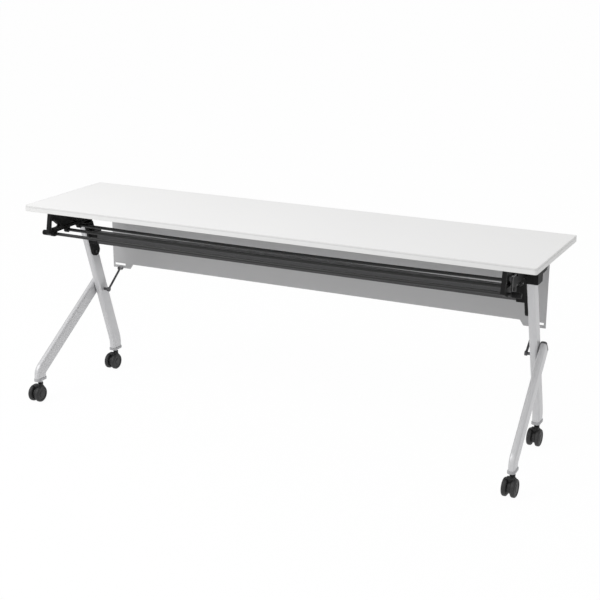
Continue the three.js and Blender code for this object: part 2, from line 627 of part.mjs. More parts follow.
// A long rod along X that hangs a little between its straight ends
function hangingRod(reach, y) {
  const rod = new THREE.CylinderGeometry(ROD_RADIUS, ROD_RADIUS, 2 * reach, ROUND_SIDES, ROD_STEPS);
  rod.rotateZ(Math.PI / 2);
  const points = rod.attributes.position;
  const free = reach * (1 - 2 / ROD_STEPS);
  for (let index = 0; index < points.count; index += 1) {
    const share = Math.min(Math.abs(points.getX(index)) / free, 1);
    points.setZ(index, points.getZ(index) - ROD_SAG * (1 - share ** 2));
  }
  return rod.translate(0, y, BAR_Z);
}

function makeShelfRods() {
  const reach = ARM_INNER_X + ROD_SOCKET;
  SHELF_RODS.forEach((name, index) => {
    add(`shelf_rod_${name}`, 'black_paint', hangingRod(reach, rodY(index)));
  });
}

// Release bar: a long rod with a crank and a pin at each end, and a grip outside each crank
function makeRelease() {
  const crankX = LOCK_X + LOCK_RADIUS + SEAT_GAP;
  const gripX = crankX + CRANK_THICKNESS + SEAT_GAP;
  const barEnd = gripX + GRIP_BORE - SEAT_GAP;
  const pieces = [hangingRod(barEnd, BAR_Y)];
  const half = CRANK_WIDTH / 2;
  for (const [name, side] of SIDES) {
    const crank = join(
      plate(polygon([[BAR_Y - half, BAR_Z], [BAR_Y + half, BAR_Z],
        [BAR_Y + half, LOCK_Z], [BAR_Y - half, LOCK_Z]]), span(side, crankX, crankX + CRANK_THICKNESS)),
      barX(half, ...span(side, crankX, crankX + CRANK_THICKNESS), BAR_Y, LOCK_Z),
      barX(GRIP_RADIUS - RUN_GAP, ...span(side, crankX, crankX + CRANK_THICKNESS), BAR_Y, BAR_Z),
      barX(CRANK_PIN_RADIUS, ...span(side, LOCK_X - LOCK_RADIUS, crankX + CRANK_THICKNESS / 2),
        BAR_Y, LOCK_Z));
    pieces.push(crank);
    const profile = [[0, GRIP_BORE], [ROD_RADIUS + SEAT_GAP, GRIP_BORE], [ROD_RADIUS + SEAT_GAP, 0],
      [GRIP_RADIUS - 2, 0], [GRIP_RADIUS, 2], [GRIP_RADIUS, GRIP_LENGTH - 4],
      [GRIP_RADIUS - 1.2, GRIP_LENGTH - 1.2], [GRIP_RADIUS - 4, GRIP_LENGTH], [0, GRIP_LENGTH]];
    const grip = new THREE.LatheGeometry(profile.map(([r, y]) => new THREE.Vector2(r, y)), ROUND_SIDES);
    grip.rotateZ(-side * Math.PI / 2).translate(side * gripX, BAR_Y, BAR_Z);
    add(`release_grip_${name}`, 'black_plastic', grip);
  }
  add('release_bar', 'black_paint', join(...pieces));
}

// Lock rod: slides in the arm's guides, with an upright slot in its front eye for the crank's pin
function makeLockRod(name, side) {
  const front = BAR_Y + LOCK_EYE_LENGTH / 2 - SEAT_GAP;
  const rod = new THREE.CylinderGeometry(LOCK_RADIUS, LOCK_RADIUS, lockTipY() - front, ROUND_SIDES);
  rod.translate(side * LOCK_X, (lockTipY() + front) / 2, LOCK_Z);
  const thick = span(side, LOCK_X - LOCK_RADIUS, LOCK_X + LOCK_RADIUS);
  const eye = block(...thick, BAR_Y - LOCK_EYE_LENGTH / 2, BAR_Y + LOCK_EYE_LENGTH / 2,
    LOCK_Z - LOCK_EYE_HEIGHT / 2, LOCK_Z + LOCK_EYE_HEIGHT / 2);
  const margin = LOCK_EYE_HEIGHT / 2 - LOCK_RADIUS;
  const slot = block(...span(side, LOCK_X - LOCK_STANDOFF, LOCK_X + LOCK_STANDOFF),
    BAR_Y - LOCK_SLOT / 2, BAR_Y + LOCK_SLOT / 2, LOCK_Z - margin, LOCK_Z + margin);
  add(`lock_rod_${name}`, 'steel', cut(join(rod, eye), slot));
}

// Panel sheet with slotted tabs at its lower corners, hinge knuckles on top and lugs for the stays
function makePanel() {
  const half = PANEL_HALF;
  const tabInner = half - TAB_LENGTH;
  const tabBottom = PANEL_BOTTOM_Z - TAB_DROP;
  const outline = new THREE.Shape();
  const corners = [[-half, PANEL_TOP_Z], [-half, tabBottom], [-tabInner, tabBottom],
    [-tabInner + TAB_SLOPE, PANEL_BOTTOM_Z], [tabInner - TAB_SLOPE, PANEL_BOTTOM_Z],
    [tabInner, tabBottom], [half, tabBottom], [half, PANEL_TOP_Z]];
  outline.setFromPoints(corners.map(([x, z]) => new THREE.Vector2(x, z)));
  for (const [, side] of SIDES) {
    const [x0, x1] = span(side, half - SLOT_EDGE - SLOT_LENGTH, half - SLOT_EDGE);
    const slotTop = PANEL_BOTTOM_Z;
    const corner = [[x0, slotTop - SLOT_HEIGHT], [x1, slotTop - SLOT_HEIGHT], [x1, slotTop], [x0, slotTop]];
    outline.holes.push(new THREE.Path(corner.map(([x, z]) => new THREE.Vector2(x, z))));
  }
  const sheet = new THREE.ExtrudeGeometry(outline, { depth: PANEL_SHEET, bevelEnabled: false });
  sheet.rotateX(Math.PI / 2).translate(0, PANEL_Y + PANEL_SHEET, 0);
  const extras = [];
  const bores = [];
  for (const [, side] of SIDES) {
    const knuckle = span(side, HINGE_X - KNUCKLE_LENGTH / 2, HINGE_X + KNUCKLE_LENGTH / 2);
    extras.push(block(...knuckle, PANEL_Y, PANEL_Y + PANEL_SHEET, PANEL_TOP_Z - KNUCKLE_RADIUS, HINGE_Z));
    extras.push(barX(KNUCKLE_RADIUS, ...knuckle, HINGE_Y, HINGE_Z));
    const wide = span(side, HINGE_X - KNUCKLE_LENGTH, HINGE_X + KNUCKLE_LENGTH);
    bores.push(barX(HINGE_PIN_RADIUS + RUN_GAP, ...wide, HINGE_Y, HINGE_Z));
    for (const edge of [-1, 1]) {
      const near = STAY_TOP_X + edge * (STAY_RADIUS + LUG_GAP + LUG_THICKNESS / 2);
      const thick = span(side, near - LUG_THICKNESS / 2, near + LUG_THICKNESS / 2);
      extras.push(barX(LUG_RADIUS, ...thick, STAY_LUG_Y, STAY_LUG_Z));
      extras.push(block(...thick, STAY_LUG_Y, PANEL_Y + PANEL_SHEET / 2,
        STAY_LUG_Z - LUG_RADIUS / 2, STAY_LUG_Z + LUG_RADIUS / 2));
    }
    const across = span(side, STAY_TOP_X - STAY_PIN_LENGTH, STAY_TOP_X + STAY_PIN_LENGTH);
    bores.push(barX(STAY_RADIUS + RUN_GAP, ...across, STAY_LUG_Y, STAY_LUG_Z));
  }
  add('modesty_panel', 'panel_paint', cut(join(sheet, ...extras), ...bores));
}

// Hinge leaf under the top, with two ears that hold the pin of the panel
function makePanelHinge(name, side) {
  const top = TOP_UNDER - SEAT_GAP;
  const inner = KNUCKLE_LENGTH / 2 + SEAT_GAP;
  const outer = inner + LEAF_EAR;
  const leaf = block(...span(side, HINGE_X - outer, HINGE_X + outer),
    HINGE_Y - LEAF_DEPTH / 2, HINGE_Y + LEAF_DEPTH / 2, top - LEAF_THICKNESS, top);
  const radius = KNUCKLE_RADIUS + RUN_GAP;
  const ears = [[-outer, -inner], [inner, outer]].flatMap(([a, b]) => {
    const range = span(side, HINGE_X + a, HINGE_X + b);
    return [barX(radius, ...range, HINGE_Y, HINGE_Z),
      block(...range, HINGE_Y - radius, HINGE_Y + radius, HINGE_Z, top - LEAF_THICKNESS / 2)];
  });
  const bore = barX(HINGE_PIN_RADIUS + SEAT_GAP, ...span(side, HINGE_X - 2 * outer, HINGE_X + 2 * outer),
    HINGE_Y, HINGE_Z);
  add(`hinge_leaf_${name}`, 'steel', cut(join(leaf, ...ears), bore));
  add(`hinge_pin_${name}`, 'steel',
    barX(HINGE_PIN_RADIUS, ...span(side, HINGE_X - outer, HINGE_X + outer), HINGE_Y, HINGE_Z));
}

// Stay: a rod from the lugs of the panel, slanting out to an eye beside the peg on the main tube
function makeStay(name, side) {
  const pegY = mainY(STAY_PEG_Z);
  const upper = new THREE.Vector3(side * STAY_TOP_X, STAY_LUG_Y, STAY_LUG_Z);
  const lower = new THREE.Vector3(side * STAY_EYE_X, pegY, STAY_PEG_Z);
  const shank = new THREE.ExtrudeGeometry(disc(0, 0, STAY_RADIUS), {
    steps: 1, extrudePath: new THREE.LineCurve3(upper, lower), curveSegments: ROUND_SIDES / 2,
  });
  const pinHalf = STAY_PIN_LENGTH / 2;
  const pin = barX(STAY_RADIUS, upper.x - pinHalf, upper.x + pinHalf, upper.y, upper.z);
  const eye = barX(STAY_EYE_RADIUS, lower.x - STAY_RADIUS, lower.x + STAY_RADIUS, lower.y, lower.z);
  add(`stay_rod_${name}`, 'steel', join(shank, pin, eye));
  const peg = span(side, STAY_EYE_X + STAY_RADIUS + SEAT_GAP, MAIN_INNER_X - SEAT_GAP);
  add(`stay_peg_${name}`, 'steel', barX(STAY_PEG_RADIUS, ...peg, pegY, STAY_PEG_Z));
}

makeTop();
makeBeam();
makeShelfRods();
makeRelease();
makePanel();
for (const [name, side] of SIDES) {
  makeLeg(name, side);
  makeFrontCap(name, side);
  makeHead(name, side);
  makeBeamBracket(name, side);
  makeArm(name, side);
  makeLockRod(name, side);
  makePanelHinge(name, side);
  makeStay(name, side);
  const feet = [['front', FRONT_X, FRONT_STEM_Y, FRONT_WIDTH], ['rear', MAIN_X, REAR_STEM_Y, MAIN_WIDTH]];
  for (const [end, x, y, width] of feet) {
    makeSocket(`${end}_${name}`, side * x, y, width);
    makeCaster(`${end}_${name}`, side * x, y);
  }
}

// The origin is under the middle of the box that holds the front wheels and the back of the top
const frontReach = FRONT_STEM_Y - CASTER_TRAIL - WHEEL_RADIUS;
table.position.y = -(frontReach + TOP_DEPTH) / 2;

export default table;
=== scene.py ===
"""Dresses a flip top training table: laminate top, silver legs, casters, rod shelf and modesty panel."""

import math

import bmesh
import bpy
from bpy.props import FloatProperty, FloatVectorProperty, IntProperty, PointerProperty
from mathutils import Matrix, Vector


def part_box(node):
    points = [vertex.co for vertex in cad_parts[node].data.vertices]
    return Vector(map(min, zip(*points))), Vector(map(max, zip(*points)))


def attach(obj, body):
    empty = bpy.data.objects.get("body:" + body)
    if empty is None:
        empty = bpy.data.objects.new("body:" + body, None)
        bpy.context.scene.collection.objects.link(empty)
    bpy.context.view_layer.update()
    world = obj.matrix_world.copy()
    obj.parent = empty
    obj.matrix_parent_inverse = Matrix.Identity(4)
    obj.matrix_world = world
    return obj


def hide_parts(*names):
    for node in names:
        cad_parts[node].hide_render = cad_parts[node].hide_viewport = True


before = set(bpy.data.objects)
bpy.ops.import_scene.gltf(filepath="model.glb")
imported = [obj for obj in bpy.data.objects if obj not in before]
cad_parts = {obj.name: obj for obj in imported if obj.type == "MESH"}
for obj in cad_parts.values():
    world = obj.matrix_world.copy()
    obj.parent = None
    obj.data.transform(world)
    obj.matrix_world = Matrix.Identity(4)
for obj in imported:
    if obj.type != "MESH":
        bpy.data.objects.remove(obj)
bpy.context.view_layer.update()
for plain in bpy.data.materials:
    plain.name = "solid_" + plain.name

bl_info = {
    "name": "Flip Top Training Table",
    "version": (1, 0, 0),
    "blender": (4, 5, 0),
    "location": "3D View > Sidebar > Table",
    "description": "Models and finishes a flip top training table piece by piece",
    "category": "Object",
}

MM = 0.001
NEAR = 0.01 * MM
SIDES = (("left", -1), ("right", 1))
CORNERS = ("front_left", "front_right", "rear_left", "rear_right")
SENSOR = 36
FRAME_PIXELS = 600
FLOOR_SIZE = 120
FLOOR_WHITE = 0.97
LAMP_AIM = (0, 0, 0.4)
# Name, place, size and share of the key's power
LAMPS = (
    ("key_lamp", (-2.2, -2.6, 3.4), 2.6, 1.0),
    ("fill_lamp", (2.8, -2.4, 2.6), 2.2, 0.1),
)
BEND_STEPS = 14
SAG_STEPS = 12
# Width and depth in millimetres of each inset in a wheel's faces
WHEEL_OUTER_FACE = ((7.5, 0), (1.2, -1.8), (8.0, 0), (0.8, 1.4), (5.0, 0.4))
WHEEL_INNER_FACE = ((7.5, 0), (1.0, -1.5), (16.0, 0), (0.2, -10.0))
# Shares of a grip's length
GRIP_PLAIN_END = 0.15
GRIP_PITCH = 0.045
GRIP_GROOVES = 6
# Shares of a bracket's height, and of its lean that its screws follow
BRACKET_SCREWS = (0.12, 0.84)
BRACKET_LEAN = 0.48


def paint(name, description, colour):
    return FloatVectorProperty(
        name=name, description=description, subtype="COLOR", size=3, min=0, max=1, default=colour)


def length(name, description, value):
    return FloatProperty(
        name=name, description=description, default=value * MM, min=0, precision=5, subtype="DISTANCE",
        unit="LENGTH")


class TableSizes(bpy.types.PropertyGroup):
    """Sizes of the fine shapes that are added to the solids"""

    top_corner: length("Top corner", "Radius of the top's corners in plan", 8)
    board_arris: length("Board arris", "Softness of the laminate's edges", 0.3)
    band_wall: length("Band wall", "Thickness of the edge band", 2)
    band_arris: length("Band arris", "Rounding of the edge band", 1.1)
    band_groove: length("Band groove", "Depth of the groove along the edge band", 0.5)
    groove_top: length("Groove top", "Upper side of the groove, below the top's face", 3.5)
    groove_width: length("Groove width", "Width of the groove", 3)
    tube_corner: length("Tube corner", "Radius of the corners of the tubes' section", 8)
    main_bend: length("Main bend", "Radius of the bend above the rear caster", 120)
    rear_rise: length("Rear rise", "Corner of the main tube's bend above its foot", 28)
    front_bend: length("Front bend", "Radius of the bend above the front caster", 30)
    front_rise: length("Front rise", "Corner of the front tube's bend above its foot", 23)
    joint_gap: length("Joint gap", "Space between the tubes where they cross", 2)
    overshoot: length("Overshoot", "Reach of the front tube past the crossing", 15)
    pad_edge: length("Pad edge", "Softness of the pad between the tubes", 0.3)
    weld_bead: length("Weld bead", "Thickness of the bead at the crossing", 0.7)
    seat_gap: length("Seat gap", "Gap between touching pieces", 0.3)
    collar_rim: length("Collar rim", "Reach of the collars past the tubes", 2)
    collar_edge: length("Collar edge", "Softness of the collars' edges", 1.4)
    cap_lid: length("Cap lid", "Thickness of the cap on the front tube", 8)
    cap_edge: length("Cap edge", "Softness of the cap's edges", 0.9)
    wheel_gap: length("Wheel gap", "Space between the wheels and the hood", 0.8)
    wheel_round: length("Wheel rounding", "Radius of the tread's shoulders", 6)
    hood_shell: length("Hood shell", "Thickness of the hood", 3)
    hood_web: length("Hood web", "Thickness of the web between the wheels", 10)
    hood_disc: length("Hood disc", "Radius of the web round the axle", 19)
    hood_boss: length("Hood boss", "Radius of the boss round the stem", 9)
    hood_rim: length("Hood rim", "Rounding of the shell's sides", 1.8)
    hood_edge: length("Hood edge", "Softness of the hood's other edges", 0.7)
    hood_back: FloatProperty(
        name="Hood back", description="Where the hood ends at the back", subtype="ANGLE",
        default=math.radians(22))
    hood_front: FloatProperty(
        name="Hood front", description="Where the hood ends in front", subtype="ANGLE",
        default=math.radians(112))
    rod_sag: length("Rod sag", "How far the long rods hang down between the arms", 4.5)
    rod_free: FloatProperty(
        name="Rod free", description="Share of a long rod that hangs, with straight ends",
        default=0.9, min=0, max=1)
    rod_edge: length("Rod edge", "Softness of the shelf rods' ends", 0.8)
    grip_groove: length("Grip groove", "Depth of the grooves round the grips", 0.6)
    grip_end: length("Grip end", "Rounding of the grips' outer ends", 3.5)
    crank: length("Crank", "Thickness of the cranks on the release bar", 3)
    crank_width: length("Crank width", "Width of the cranks on the release bar", 9)
    crank_pin: length("Crank pin", "Radius of the pins on the cranks", 2)
    stay_radius: length("Stay radius", "Radius of the stays", 4)
    stay_eye: length("Stay eye", "Radius of the stays' lower eyes", 8)
    stay_pin: length("Stay pin", "Length of the stays' upper pins", 20)
    casting_edge: length("Casting edge", "Softness of the black castings' edges", 0.9)
    cover: length("Cover", "Radius of the covers on the pivots", 14)
    cover_lid: length("Cover lid", "Thickness of the covers on the pivots", 2)
    cover_edge: length("Cover edge", "Softness of the covers' edges", 1.2)
    beam_edge: length("Beam edge", "Rounding of the beam's edges", 2.2)
    flange_depth: length("Flange depth", "From a bracket's outer side to the face with its screws", 9)
    sheet_edge: length("Sheet edge", "Softness of cut sheet edges", 0.35)
    leaf_edge: length("Leaf edge", "Softness of the hinges' edges", 0.5)
    pivot_edge: length("Pivot edge", "Softness of the pivot pins' ends", 0.8)
    pin_edge: length("Pin edge", "Softness of the ends of hinge pins and pegs", 0.7)
    steel_edge: length("Steel edge", "Softness of small steel pieces' edges", 0.4)
    stem_edge: length("Stem edge", "Softness of the caster stems' edges", 0.3)
    washer_drop: length("Washer drop", "From the collar to the washer on a stem", 1)
    washer: length("Washer", "Thickness of the washer on a stem", 2)
    washer_reach: length("Washer reach", "How far the washer stands out of the stem", 2.2)
    screw: length("Screw", "Radius of the screws' heads", 4.5)
    round_sides: IntProperty(name="Round sides", description="Sides of a round bar", default=32, min=12)


class TableFinishes(bpy.types.PropertyGroup):
    """Colours of the finishes"""

    laminate: paint("Laminate", "White face of the top", (0.84, 0.838, 0.835))
    edge_band: paint("Edge band", "Plastic round the top's edge", (0.70, 0.70, 0.695))
    silver: paint("Silver", "Powder paint of the legs", (0.56, 0.56, 0.57))
    collar: paint("Collar", "Grey plastic of collars and caps", (0.36, 0.36, 0.37))
    casting: paint("Casting", "Black plastic of arms and heads", (0.003, 0.003, 0.0031))
    rod: paint("Rod", "Black paint of the rods", (0.004, 0.004, 0.0042))
    beam: paint("Beam", "Dark paint of the beam", (0.048, 0.048, 0.05))
    panel: paint("Panel", "Grey paint of the modesty panel", (0.45, 0.45, 0.455))
    wheel: paint("Wheel", "Nylon of the casters", (0.012, 0.012, 0.0124))
    cap: paint("Cap", "Dark plastic of the front tubes' caps", (0.075, 0.075, 0.077))
    steel: paint("Steel", "Zinc plated steel", (0.42, 0.43, 0.44))
    stay: paint("Stay", "Dark steel of the stays", (0.10, 0.10, 0.105))


class TableStage(bpy.types.PropertyGroup):
    """Camera, floor and light"""

    focal_pixels: FloatProperty(
        name="Focal length", description="In pixels of a 600 pixel frame", default=1270.79)
    camera_place: FloatVectorProperty(
        name="Camera place", description="Where the camera stands", subtype="TRANSLATION", unit="LENGTH",
        default=(1.81917, -3.61267, 1.64553))
    heading: FloatProperty(name="Heading", description="Turn to the left", subtype="ANGLE", default=0.45372)
    dip: FloatProperty(name="Dip", description="Tilt downwards", subtype="ANGLE", default=0.29142)
    roll: FloatProperty(name="Roll", description="Tilt to the side", subtype="ANGLE", default=0.00605)
    sky: FloatProperty(name="Sky", description="Strength of the even light", default=0.72, min=0)
    key: FloatProperty(name="Key", description="Power of the large lamp", subtype="POWER", default=95, min=0)
    floor: paint("Floor", "Colour of the floor", (0.93, 0.93, 0.93))


class Wire:
    """A value in a shader. Arithmetic on it adds Math nodes."""

    def __init__(self, recipe, socket):
        self.recipe = recipe
        self.socket = socket

    def __add__(self, other):
        return self.recipe.math("ADD", self, other)

    def __mul__(self, other):
        return self.recipe.math("MULTIPLY", self, other)

    def __gt__(self, other):
        return self.recipe.math("GREATER_THAN", self, other)

    def __lt__(self, other):
        return self.recipe.math("LESS_THAN", self, other)

    __radd__ = __add__


class Recipe:
    """One material, written as expressions."""

    def __init__(self, name):
        self.material = bpy.data.materials.new(name)
        self.material.use_nodes = True
        self.tree = self.material.node_tree
        self.tree.nodes.clear()

    def node(self, kind, settings=None, inputs=None, output=0):
        made = self.tree.nodes.new(kind)
        for key, value in (settings or {}).items():
            if key == "stops":
                ramp = made.color_ramp.elements
                for element, (place, shade) in zip(ramp, value):
                    element.position = place
                    element.color = (shade, shade, shade, 1)
            else:
                setattr(made, key, value)
        for key, value in (inputs or {}).items():
            if isinstance(value, Wire):
                self.tree.links.new(value.socket, made.inputs[key])
            else:
                made.inputs[key].default_value = value
        return Wire(self, made.outputs[output])

    def math(self, operation, first, second):
        return self.node("ShaderNodeMath", {"operation": operation}, {0: first, 1: second})

    def place(self):
        return self.node("ShaderNodeTexCoord", output="Object")

    def noise(self, scale, detail=2.0, stretch=None):
        vector = self.place()
        if stretch:
            vector = self.node("ShaderNodeMapping", {}, {"Vector": vector, "Scale": stretch})
        return self.node("ShaderNodeTexNoise", {}, {"Vector": vector, "Scale": scale, "Detail": detail})

    def ramp(self, value, low, high):
        return self.node("ShaderNodeValToRGB", {"stops": ((low, 0.0), (high, 1.0))}, {"Fac": value})

    def mix(self, factor, first, second):
        return self.node(
            "ShaderNodeMix", {"data_type": "RGBA"}, {0: factor, 6: first, 7: second}, output=2)

    def bump(self, height, strength, distance):
        return self.node(
            "ShaderNodeBump", {}, {"Height": height, "Strength": strength, "Distance": distance})

    def surface(self, inputs):
        self.end(self.node("ShaderNodeBsdfPrincipled", {}, inputs))
        return self.material

    def end(self, shader):
        end = self.tree.nodes.new("ShaderNodeOutputMaterial")
        self.tree.links.new(shader.socket, end.inputs["Surface"])


def tint(colour, factor):
    return (*[min(1.0, channel * factor) for channel in colour], 1.0)


def laminate_finish(colour):
    """Melamine: almost even white, with a faint cloud and a fine grain in its gloss"""
    recipe = Recipe("white_laminate")
    cloud = recipe.ramp(recipe.noise(scale=2.2, detail=3.0), low=0.35, high=0.7)
    grain = recipe.noise(scale=1500.0)
    shade = recipe.mix(cloud * 0.7 + grain * 0.3, tint(colour, 1.0), tint(colour, 0.985))
    return recipe.surface({
        "Base Color": shade,
        "Roughness": 0.62 + grain * 0.1,
        "Normal": recipe.bump(grain, strength=0.06, distance=0.4 * MM),
        "Specular IOR Level": 0.2,
    })


def band_finish_with_groove_shade(colour, low, high):
    """Extruded plastic: faint lines along the edge, and painted shade that darkens the groove"""
    recipe = Recipe("edge_plastic")
    height = recipe.node("ShaderNodeSeparateXYZ", {}, {0: recipe.place()}, output="Z")
    lines = recipe.noise(scale=40.0, detail=3.0, stretch=(1.0, 1.0, 60.0))
    # Painted shade: the band's colour is darkened between low and high, the height of its groove
    groove = (height > low) * (high > height)
    shade = recipe.mix(groove * 0.3 + lines * 0.15, tint(colour, 1.0), tint(colour, 0.66))
    return recipe.surface({
        "Base Color": shade,
        "Roughness": 0.42 + lines * 0.12,
        "Normal": recipe.bump(lines, strength=0.12, distance=0.3 * MM),
    })


def powder_finish(name, colour, metallic, roughness):
    """Powder paint: fine orange peel, a little flake and slight wear in its gloss"""
    recipe = Recipe(name)
    peel = recipe.noise(scale=910.0)
    flake = recipe.noise(scale=2600.0, detail=1.0)
    cloud = recipe.noise(scale=7.0, detail=3.0)
    shade = recipe.mix(flake * 0.55 + cloud * 0.45, tint(colour, 0.95), tint(colour, 1.06))
    return recipe.surface({
        "Base Color": shade,
        "Metallic": metallic,
        "Roughness": roughness - 0.06 + cloud * 0.12,
        "Normal": recipe.bump(peel, strength=0.03, distance=0.3 * MM),
    })


def moulded_finish(name, colour, roughness, scuffs=0.0, shine=0.5):
    """Moulded plastic: spark-eroded grain, with pale scuffs where it rubs"""
    recipe = Recipe(name)
    grain = recipe.noise(scale=1800.0, detail=3.0)
    worn = recipe.ramp(recipe.noise(scale=30.0, detail=4.0), low=0.45, high=0.75)
    shade = recipe.mix(worn * 0.6 + grain * 0.4, tint(colour, 0.9), tint(colour, 1.35 + scuffs))
    return recipe.surface({
        "Base Color": shade,
        "Roughness": roughness - 0.08 + grain * 0.16,
        "Normal": recipe.bump(grain, strength=0.22, distance=0.5 * MM),
        "Specular IOR Level": shine,
    })


def steel_finish(name, colour, roughness):
    """Drawn and plated steel: fine streaks along the bar"""
    recipe = Recipe(name)
    streak = recipe.noise(scale=220.0, detail=3.0, stretch=(0.08, 1.0, 1.0))
    shade = recipe.mix(streak, tint(colour, 0.85), tint(colour, 1.15))
    return recipe.surface({
        "Base Color": shade,
        "Metallic": 0.85,
        "Roughness": roughness - 0.07 + streak * 0.14,
        "Normal": recipe.bump(streak, strength=0.1, distance=0.3 * MM),
    })


def finishes():
    """The materials by slot, made once"""
    colours = bpy.context.scene.table_finishes
    if "white_laminate" not in bpy.data.materials:
        sizes = bpy.context.scene.table_sizes
        groove_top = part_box("edge_band")[1].z - sizes.groove_top
        laminate_finish(colours.laminate)
        # The groove's heights mark where painted shade darkens the band
        band_finish_with_groove_shade(colours.edge_band, groove_top - sizes.groove_width, groove_top)
        powder_finish("silver_paint", colours.silver, metallic=0.3, roughness=0.4)
        powder_finish("panel_paint", colours.panel, metallic=0.1, roughness=0.48)
        powder_finish("beam_paint", colours.beam, metallic=0.1, roughness=0.45)
        powder_finish("black_paint", colours.rod, metallic=0.0, roughness=0.5)
        moulded_finish("grey_plastic", colours.collar, roughness=0.55)
        moulded_finish("cap_plastic", colours.cap, roughness=0.55)
        moulded_finish("black_plastic", colours.casting, roughness=0.6, shine=0.2)
        moulded_finish("wheel_plastic", colours.wheel, roughness=0.55, scuffs=0.35)
        steel_finish("steel", colours.steel, roughness=0.32)
        steel_finish("dark_steel", colours.stay, roughness=0.4)
    return bpy.data.materials


def alone(piece):
    """Makes a piece the only selected object"""
    bpy.ops.object.select_all(action="DESELECT")
    piece.select_set(True)
    bpy.context.view_layer.objects.active = piece


def settle(piece):
    """Moves a piece's place into its mesh"""
    alone(piece)
    bpy.ops.object.transform_apply(location=True, rotation=True, scale=True)


def cleared():
    bpy.ops.object.select_all(action="DESELECT")


def slab(name, low, high):
    """A block between two corners, as a start for a piece"""
    cleared()
    low, high = Vector(low), Vector(high)
    bpy.ops.mesh.primitive_cube_add(size=1, location=(low + high) / 2)
    piece = bpy.context.object
    piece.name = name
    piece.scale = high - low
    settle(piece)
    return piece


def bar(name, radius, start, end, sides=None):
    """A round bar between two points, as a start for a piece"""
    cleared()
    start, end = Vector(start), Vector(end)
    along = end - start
    bpy.ops.mesh.primitive_cylinder_add(
        vertices=sides or bpy.context.scene.table_sizes.round_sides, radius=radius, depth=along.length,
        location=(start + end) / 2, rotation=along.to_track_quat("Z", "Y").to_euler())
    piece = bpy.context.object
    piece.name = name
    settle(piece)
    return piece


def pick(piece, kind, test):
    """Selects faces or edges in edit mode by a test on each"""
    mesh = bmesh.from_edit_mesh(piece.data)
    for group in (mesh.verts, mesh.edges, mesh.faces):
        for element in group:
            element.select = False
    mesh.select_mode = {"FACE"} if kind == "faces" else {"EDGE"}
    chosen = [element for element in getattr(mesh, kind) if test(element)]
    for element in chosen:
        element.select_set(True)
    mesh.select_flush_mode()
    bmesh.update_edit_mesh(piece.data)
    if not chosen:
        raise RuntimeError(f"nothing on {piece.name} matches")


def edit(piece):
    alone(piece)
    bpy.ops.object.mode_set(mode="EDIT")


def done():
    bpy.ops.object.mode_set(mode="OBJECT")


def everything():
    bpy.ops.mesh.select_all(action="SELECT")


def cut(place, normal, **choice):
    """Cuts the whole mesh in edit mode along a plane"""
    everything()
    bpy.ops.mesh.bisect(plane_co=place, plane_no=normal, **choice)


def upright(edge):
    along = edge.verts[1].co - edge.verts[0].co
    return abs(along.z) > 0.99 * along.length


def round_edges(piece, test, radius, segments):
    """Bevels the edges that pass a test"""
    edit(piece)
    pick(piece, "edges", test)
    bpy.ops.mesh.bevel(offset=radius, segments=segments, affect="EDGES")
    done()


def soften(piece, radius, segments=2, angle=35):
    """Rounds every sharp edge a little"""
    alone(piece)
    edge = piece.modifiers.new("Soft edge", "BEVEL")
    edge.width = radius
    edge.segments = segments
    edge.limit_method = "ANGLE"
    edge.angle_limit = math.radians(angle)
    bpy.ops.object.modifier_apply(modifier=edge.name)


def combine(piece, tool, operation):
    """Joins a second shape to a piece, or cuts it out of the piece"""
    alone(piece)
    step = piece.modifiers.new("Combine", "BOOLEAN")
    step.object = tool
    step.operation = operation
    step.solver = "EXACT"
    bpy.ops.object.modifier_apply(modifier=step.name)
    bpy.data.objects.remove(tool)


def copy_of(piece, name, shift):
    """A copy with its own mesh, moved"""
    alone(piece)
    bpy.ops.object.duplicate()
    twin = bpy.context.object
    twin.name = name
    twin.location = Vector(shift)
    settle(twin)
    return twin


def flat(axis, place):
    """A test for the faces that lie across an axis at a place"""
    return lambda face: (
        abs(face.normal[axis]) > 0.9 and abs(face.calc_center_median()[axis] - place) < 2 * NEAR)


def level_in_x(edge):
    return abs(edge.verts[0].co.x - edge.verts[1].co.x) < NEAR


def along_side(low, high, sign):
    """A box's two ends along X, the one nearer to the table's middle first"""
    return (low.x, high.x) if sign > 0 else (high.x, low.x)


def outline(name, start, along, width, depth, corner):
    """A tube's rounded section as a ring of edges, left selected in edit mode"""
    level = Vector((1, 0, 0))
    across = (level - along * level.dot(along)).normalized()
    turn = Matrix((across, along.cross(across), along)).transposed().to_4x4()
    cleared()
    bpy.ops.mesh.primitive_plane_add(size=1)
    piece = bpy.context.object
    piece.name = name
    piece.matrix_world = Matrix.Translation(start) @ turn @ Matrix.Diagonal((width, depth, 1, 1))
    settle(piece)
    edit(piece)
    everything()
    bpy.ops.mesh.bevel(offset=corner, segments=6, affect="VERTICES")
    everything()
    bpy.ops.mesh.delete(type="ONLY_FACE")
    everything()
    return piece


def draw(shift):
    """Draws the selected ring of edges along a shift"""
    bpy.ops.mesh.extrude_edges_move(TRANSFORM_OT_translate={"value": shift})


def close():
    """Closes the ends of a drawn ring and leaves edit mode"""
    everything()
    bpy.ops.mesh.remove_doubles(threshold=NEAR)
    bpy.ops.mesh.fill_holes(sides=0)
    bpy.ops.mesh.normals_make_consistent(inside=False)
    done()


def prism(name, start, end, width, depth, corner):
    """A straight piece with a rounded section"""
    piece = outline(name, start, (end - start).normalized(), width, depth, corner)
    draw(end - start)
    close()
    return piece


def middle_of(node):
    low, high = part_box(node)
    return (low + high) / 2


def lengthwise(name, node, softness):
    """A round bar along X that takes a solid's place"""
    low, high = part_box(node)
    middle = (low + high) / 2
    piece = bar(name, (high.z - low.z) / 2, (low.x, *middle.yz), (high.x, *middle.yz))
    soften(piece, softness)
    return piece


